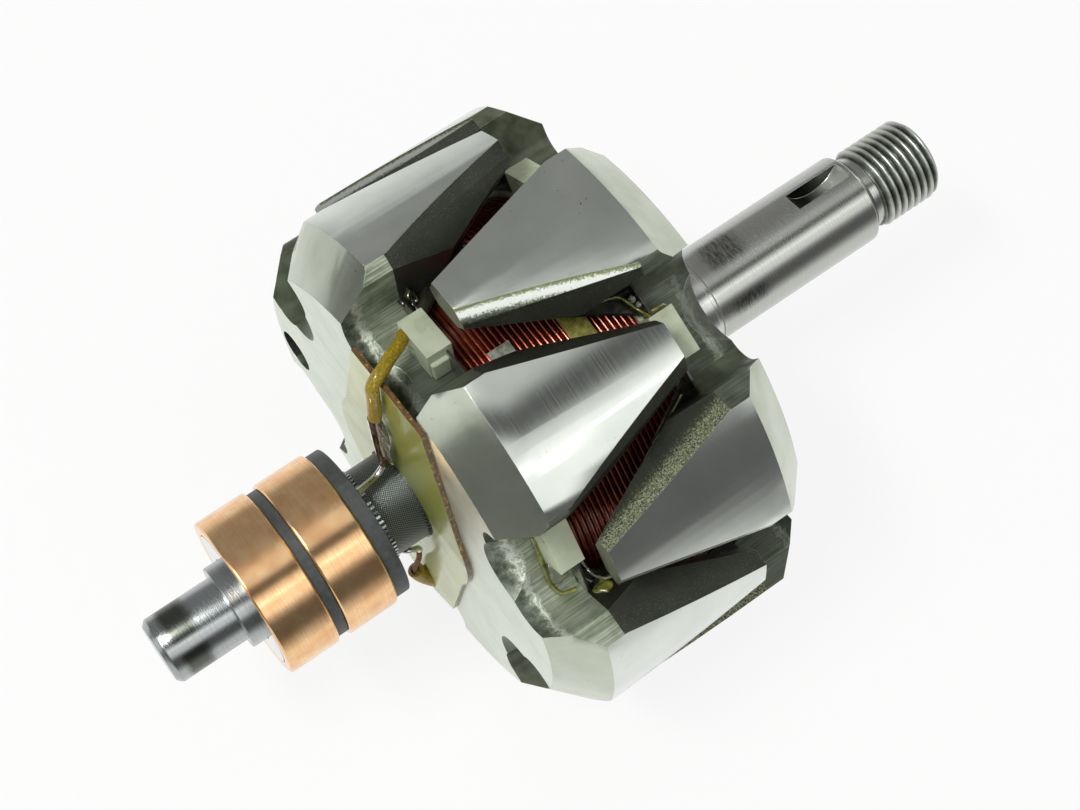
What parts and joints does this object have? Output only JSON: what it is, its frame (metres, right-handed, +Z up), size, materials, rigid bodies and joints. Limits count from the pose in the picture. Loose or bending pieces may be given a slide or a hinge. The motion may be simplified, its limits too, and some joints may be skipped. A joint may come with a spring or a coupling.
{
  "type": "alternator rotor",
  "caption": "Claw-pole rotor of a car alternator: interlaced tapered steel claws round a field coil, on a shaft with slip rings, a bearing journal, a key slot and a threaded drive end.",
  "frame": {"origin": "on the shaft axis, where the drive-end bearing seat begins", "axes": "+X along the shaft towards the threaded drive end, +Z up with the rotor lying on its side"},
  "size_m": [0.1586, 0.096, 0.096],
  "materials": {
    "shaft_steel": "ground",
    "pole_steel": "turned and forged",
    "core_steel": "machined",
    "nylon": "moulded",
    "enamelled_wire": "enamelled copper",
    "coil_tape": "varnished",
    "varnished_liner": "varnished",
    "hub_moulding": "moulded",
    "ring_copper": "turned copper",
    "fibre_strip": "varnished fibre",
    "woven_sleeve": "varnished weave",
    "joint_resin": "dipped resin",
    "tinned_wire": "tinned copper"
  },
  "bodies": {
    "root": {"shaft": "shaft_steel", "slip_ring_end_pole": "pole_steel", "drive_end_pole": "pole_steel", "field_core": "core_steel", "bobbin": "nylon", "field_winding": "enamelled_wire", "front_coil_tape": "coil_tape", "rear_coil_tape": "coil_tape", "front_coil_liner": "varnished_liner", "rear_coil_liner": "varnished_liner", "slip_ring_hub": "hub_moulding", "outer_slip_ring": "ring_copper", "inner_slip_ring": "ring_copper", "lead_strip": "fibre_strip", "upper_lead_sleeve": "woven_sleeve", "lower_lead_sleeve": "woven_sleeve", "upper_lead_joint": "joint_resin", "lower_lead_joint": "joint_resin", "upper_lead_wire": "tinned_wire", "lower_lead_wire": "tinned_wire"}
  },
  "joints": []
}
